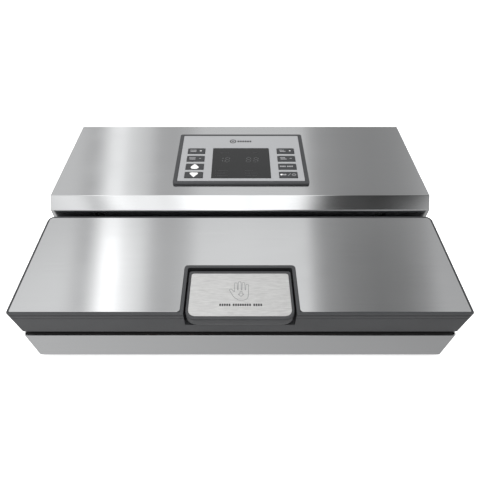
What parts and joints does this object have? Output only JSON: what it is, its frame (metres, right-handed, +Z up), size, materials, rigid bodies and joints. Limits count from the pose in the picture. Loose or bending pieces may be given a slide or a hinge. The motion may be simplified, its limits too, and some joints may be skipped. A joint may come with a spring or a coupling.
{
  "type": "vacuum sealer",
  "caption": "Countertop vacuum sealer: steel base, hinged lid with press handle and latch, rear housing with keypad and display",
  "frame": {"origin": "middle of the object's overall box, on the surface it stands on", "axes": "+X to the right along the lid, +Y to the back, +Z up"},
  "size_m": [0.401, 0.2708, 0.0986],
  "materials": {
    "stainless": "satin",
    "brushed_aluminium": "brushed",
    "dark_plastic": "moulded satin",
    "black_plastic": "moulded matte",
    "panel_silver": "printed silver",
    "smoked_window": "gloss",
    "key_charcoal": "moulded matte",
    "foot_rubber": "matte",
    "foam": "closed-cell foam",
    "silicone": "matte",
    "heater_tape": "coated glass cloth",
    "zinc": "zinc plated",
    "circuit_board": "solder mask",
    "winding": "taped copper winding",
    "lamination": "varnished",
    "clear_tube": "translucent"
  },
  "bodies": {
    "root": {"base_wrap": "stainless", "bottom_plate": "zinc", "foot_front_left": "foot_rubber", "foot_front_right": "foot_rubber", "foot_back_left": "foot_rubber", "foot_back_right": "foot_rubber", "deck": "black_plastic", "lower_gasket": "foam", "seal_bar": "brushed_aluminium", "heating_strip": "heater_tape", "vacuum_port": "black_plastic", "drip_tray": "key_charcoal", "latch_keeper_left": "zinc", "latch_keeper_right": "zinc", "hinge_bracket_left": "zinc", "hinge_bracket_right": "zinc", "rear_cover": "stainless", "back_panel": "zinc", "power_inlet": "black_plastic", "switch_housing": "black_plastic", "fan_frame": "black_plastic", "panel_bezel": "dark_plastic", "panel_plate": "panel_silver", "display_window": "smoked_window", "panel_board": "circuit_board", "pump_motor": "zinc", "pump_crankcase": "brushed_aluminium", "pump_head": "black_plastic", "pump_bracket": "zinc", "vacuum_hose": "clear_tube", "transformer_core": "lamination", "transformer_coil": "winding", "main_board": "circuit_board"},
    "lid": {"lid_frame": "dark_plastic", "lid_plate": "stainless", "lid_liner": "black_plastic", "lid_gasket": "foam", "pressure_strip": "silicone", "hinge_pin_left": "zinc", "hinge_pin_right": "zinc", "handle_pin": "black_plastic"},
    "handle": {"handle_body": "dark_plastic", "handle_plate": "brushed_aluminium"},
    "latch_link": {"latch_link": "zinc"},
    "latch_shaft": {"latch_shaft": "zinc", "latch_hook_left": "zinc", "latch_hook_right": "zinc"},
    "rocker": {"rocker": "key_charcoal"},
    "fan_rotor": {"fan_rotor": "key_charcoal"},
    "pump_crank": {"pump_crank": "zinc"},
    "key_left_1": {"key_left_1": "key_charcoal"},
    "key_left_2": {"key_left_2": "key_charcoal"},
    "key_left_3": {"key_left_3": "key_charcoal"},
    "key_left_4": {"key_left_4": "key_charcoal"},
    "key_right_1": {"key_right_1": "key_charcoal"},
    "key_right_2": {"key_right_2": "key_charcoal"},
    "key_right_3": {"key_right_3": "key_charcoal"},
    "key_right_4": {"key_right_4": "key_charcoal"}
  },
  "joints": [
    {"name": "lid_hinge", "type": "hinge", "parent": "root", "child": "lid", "pos_m": [0, -0.021, 0.072], "axis": [-1, 0, 0], "range_deg": [0, 85]},
    {"name": "handle_lift", "type": "hinge", "parent": "lid", "child": "handle", "pos_m": [0, -0.093, 0.0745], "axis": [-1, 0, 0], "range_deg": [0, 30], "stiffness_Nm_per_rad": 0.15, "springref_deg": -17.19},
    {"name": "link_swing", "type": "hinge", "parent": "handle", "child": "latch_link", "pos_m": [0, -0.093, 0.067], "axis": [-1, 0, 0], "range_deg": [-30, 0]},
    {"name": "latch_turn", "type": "hinge", "parent": "lid", "child": "latch_shaft", "pos_m": [0, -0.066, 0.068], "axis": [-1, 0, 0], "range_deg": [0, 30]},
    {"name": "rocker_tilt", "type": "hinge", "parent": "root", "child": "rocker", "pos_m": [-0.105, 0.1303, 0.07], "axis": [-1, 0, 0], "range_deg": [0, 20]},
    {"name": "fan_spin", "type": "hinge", "parent": "root", "child": "fan_rotor", "pos_m": [0.15, 0.1238, 0.07], "axis": [0, 1, 0], "continuous": true},
    {"name": "pump_spin", "type": "hinge", "parent": "root", "child": "pump_crank", "pos_m": [-0.112, 0.062, 0.036], "axis": [1, 0, 0], "continuous": true},
    {"name": "key_left_1_press", "type": "slide", "parent": "root", "child": "key_left_1", "axis": [0, 0, -1], "range_m": [0, 0.0004], "stiffness_N_per_m": 1000, "springref_m": -0.0002},
    {"name": "key_left_2_press", "type": "slide", "parent": "root", "child": "key_left_2", "axis": [0, 0, -1], "range_m": [0, 0.0004], "stiffness_N_per_m": 1000, "springref_m": -0.0002},
    {"name": "key_left_3_press", "type": "slide", "parent": "root", "child": "key_left_3", "axis": [0, 0, -1], "range_m": [0, 0.0004], "stiffness_N_per_m": 1000, "springref_m": -0.0002},
    {"name": "key_left_4_press", "type": "slide", "parent": "root", "child": "key_left_4", "axis": [0, 0, -1], "range_m": [0, 0.0004], "stiffness_N_per_m": 1000, "springref_m": -0.0002},
    {"name": "key_right_1_press", "type": "slide", "parent": "root", "child": "key_right_1", "axis": [0, 0, -1], "range_m": [0, 0.0004], "stiffness_N_per_m": 1000, "springref_m": -0.0002},
    {"name": "key_right_2_press", "type": "slide", "parent": "root", "child": "key_right_2", "axis": [0, 0, -1], "range_m": [0, 0.0004], "stiffness_N_per_m": 1000, "springref_m": -0.0002},
    {"name": "key_right_3_press", "type": "slide", "parent": "root", "child": "key_right_3", "axis": [0, 0, -1], "range_m": [0, 0.0004], "stiffness_N_per_m": 1000, "springref_m": -0.0002},
    {"name": "key_right_4_press", "type": "slide", "parent": "root", "child": "key_right_4", "axis": [0, 0, -1], "range_m": [0, 0.0004], "stiffness_N_per_m": 1000, "springref_m": -0.0002}
  ],
  "couplings": [
    {"joint": "latch_turn", "follows": "handle_lift", "ratio": 1},
    {"joint": "link_swing", "follows": "handle_lift", "ratio": -1}
  ]
}
